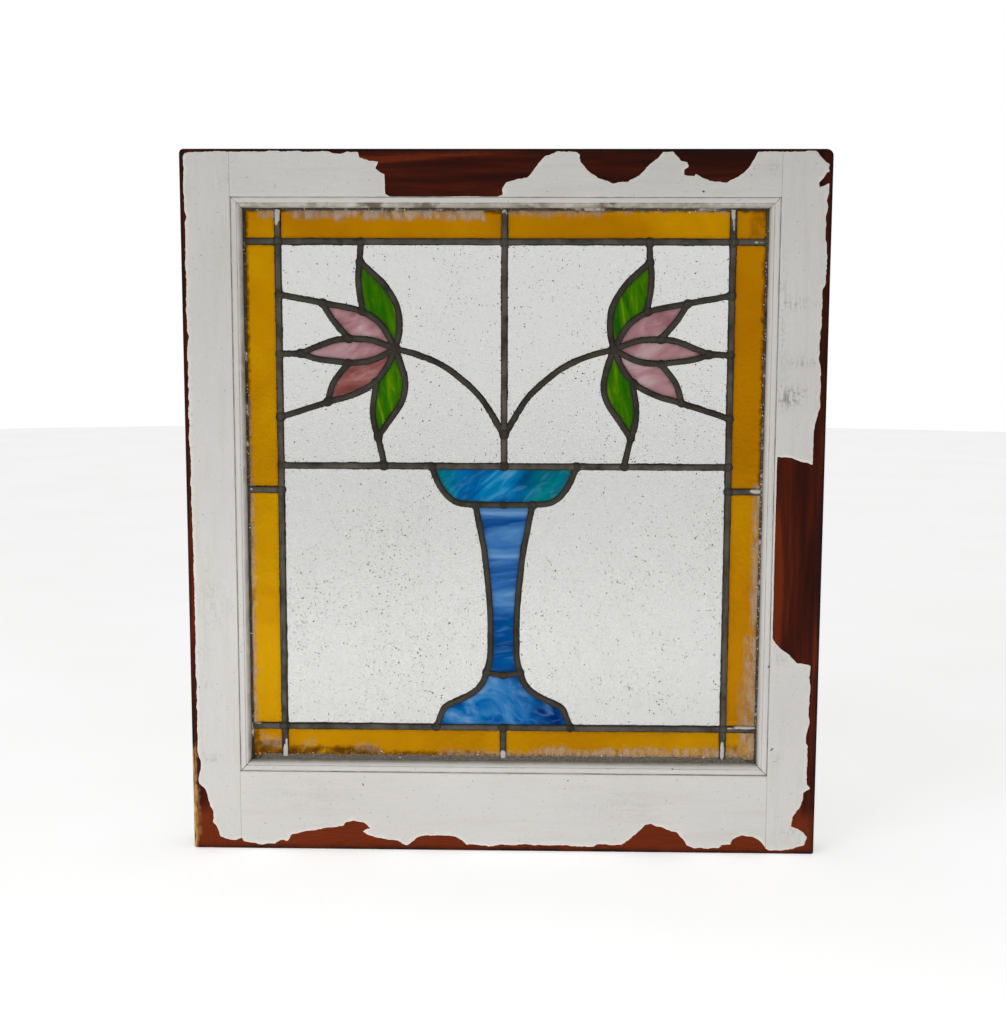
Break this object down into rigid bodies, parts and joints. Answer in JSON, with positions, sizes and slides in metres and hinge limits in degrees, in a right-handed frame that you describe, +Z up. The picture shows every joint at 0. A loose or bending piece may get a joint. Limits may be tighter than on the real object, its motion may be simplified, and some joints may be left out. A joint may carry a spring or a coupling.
{
  "type": "stained glass window",
  "caption": "Leaded stained glass panel of a chalice vase with stylised flowers and an amber border, in an old painted wooden window sash.",
  "frame": {"origin": "middle of the sash's bottom edge, half way through its thickness", "axes": "+Z up the window, +X to the right as seen from the moulded room side, which faces -Y; the puttied rebate side faces +Y"},
  "size_m": [0.584, 0.035, 0.648],
  "materials": {
    "painted_wood": "old white paint over dark red-brown varnished softwood, flaked at the edges",
    "lead_came": "dull, oxidised dark brown-grey lead with soldered joints",
    "clear_glass": "clear granite-textured cathedral glass with dirt specks",
    "amber_glass": "dark amber cathedral glass, lightly wavy, with paint slopped on its edges",
    "green_glass": "streaky green glass",
    "pink_glass": "mauve-pink opalescent glass with wispy streaks",
    "blue_glass": "blue opalescent glass, streaked teal, sky blue and deep blue",
    "glazing_putty": "old linseed putty, cracked, with traces of white paint"
  },
  "bodies": {
    "root": {"sash_left_stile": "painted_wood", "sash_right_stile": "painted_wood", "sash_top_rail": "painted_wood", "sash_bottom_rail": "painted_wood", "lead_came_lattice": "lead_came", "amber_corner_top_left": "amber_glass", "amber_corner_top_right": "amber_glass", "amber_corner_bottom_left": "amber_glass", "amber_corner_bottom_right": "amber_glass", "amber_top_left": "amber_glass", "amber_top_right": "amber_glass", "amber_bottom_left": "amber_glass", "amber_bottom_right": "amber_glass", "amber_side_upper_left": "amber_glass", "amber_side_upper_right": "amber_glass", "amber_side_lower_left": "amber_glass", "amber_side_lower_right": "amber_glass", "clear_above_stalk_left": "clear_glass", "clear_above_stalk_right": "clear_glass", "clear_under_stalk_left": "clear_glass", "clear_under_stalk_right": "clear_glass", "clear_above_petals_left": "clear_glass", "clear_above_petals_right": "clear_glass", "clear_between_upper_petals_left": "clear_glass", "clear_between_upper_petals_right": "clear_glass", "clear_between_lower_petals_left": "clear_glass", "clear_between_lower_petals_right": "clear_glass", "clear_below_petals_left": "clear_glass", "clear_below_petals_right": "clear_glass", "clear_beside_vase_left": "clear_glass", "clear_beside_vase_right": "clear_glass", "leaf_upper_left": "green_glass", "leaf_upper_right": "green_glass", "leaf_lower_left": "green_glass", "leaf_lower_right": "green_glass", "petal_upper_left": "pink_glass", "petal_upper_right": "pink_glass", "petal_middle_left": "pink_glass", "petal_middle_right": "pink_glass", "petal_lower_left": "pink_glass", "petal_lower_right": "pink_glass", "vase_bowl": "blue_glass", "vase_column": "blue_glass", "vase_foot": "blue_glass", "glazing_putty_bottom": "glazing_putty", "glazing_putty_left": "glazing_putty", "glazing_putty_top": "glazing_putty", "glazing_putty_right": "glazing_putty"}
  },
  "joints": []
}
